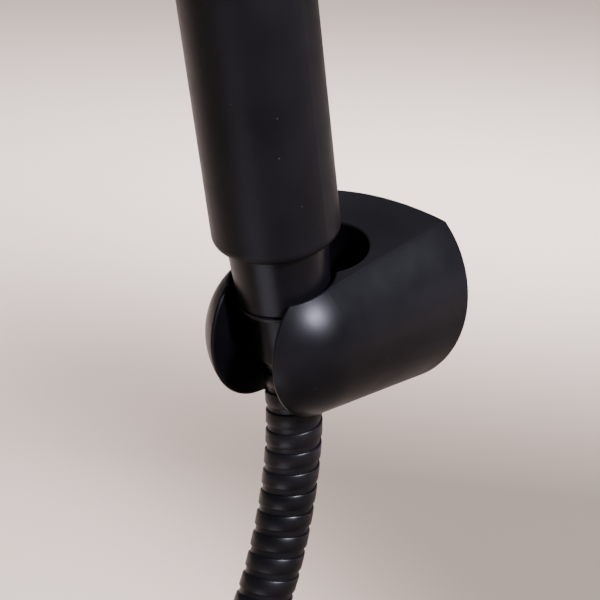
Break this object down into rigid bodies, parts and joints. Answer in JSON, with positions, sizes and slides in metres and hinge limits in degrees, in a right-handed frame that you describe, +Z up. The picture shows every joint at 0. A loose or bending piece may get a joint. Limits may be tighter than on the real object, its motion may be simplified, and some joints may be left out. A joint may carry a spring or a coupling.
{
  "type": "hand shower",
  "caption": "Stick hand shower leaning in the slotted seat of a round wall bracket, with its ribbed hose put away in a coil held by a tie.",
  "frame": {"origin": "centre of the bracket's round base, on the wall", "axes": "+Y into the wall, +Z up, the room is at -Y"},
  "size_m": [0.1929, 0.132, 0.5412],
  "materials": {
    "black_metal": "satin",
    "black_nut": "satin",
    "black_hose": "satin",
    "black_plastic": "matt",
    "silicone": "matt",
    "white_plastic": "matt",
    "zinc": "matt",
    "screw_steel": "polished",
    "brass": "machined",
    "rubber": "matt",
    "tie": "matt"
  },
  "bodies": {
    "bracket": {"bracket_body": "black_metal", "mounting_plate": "zinc", "mounting_screws": "screw_steel", "grub_screw": "screw_steel"},
    "hose": {"hose_insert": "brass", "swivel_ring": "black_nut", "hose_ferrule": "black_nut", "hose_tube": "black_hose", "hose_coil": "black_hose", "hose_tie": "tie", "hose_tail": "black_hose", "outlet_ferrule": "black_nut", "outlet_insert": "brass"},
    "handset": {"handle_shell": "black_metal", "top_cap": "black_metal", "cap_seal": "rubber", "spray_plate": "black_plastic", "nozzle_mat": "silicone", "spray_chamber": "white_plastic", "plate_screws": "screw_steel", "inlet_connector": "brass", "connector_seal": "rubber", "inlet_screen": "white_plastic", "flow_regulator": "white_plastic", "regulator_seal": "rubber", "water_tube": "white_plastic", "tube_seals": "rubber", "inlet_washer": "rubber", "cone_nut": "black_nut"},
    "outlet_nut": {"outlet_nut": "black_nut", "outlet_washer": "rubber"}
  },
  "joints": [
    {"name": "handset_lift", "type": "slide", "parent": "bracket", "child": "hose", "axis": [0, -0.2334, 0.9724], "range_m": [0, 0.05]},
    {"name": "handset_turn", "type": "hinge", "parent": "hose", "child": "handset", "pos_m": [0, -0.03915, 0], "axis": [0, -0.2334, 0.9724], "continuous": true},
    {"name": "outlet_nut_turn", "type": "hinge", "parent": "hose", "child": "outlet_nut", "pos_m": [-0.0752, -0.026, -0.311], "axis": [0.0296, 0.0296, -0.9991], "continuous": true}
  ]
}
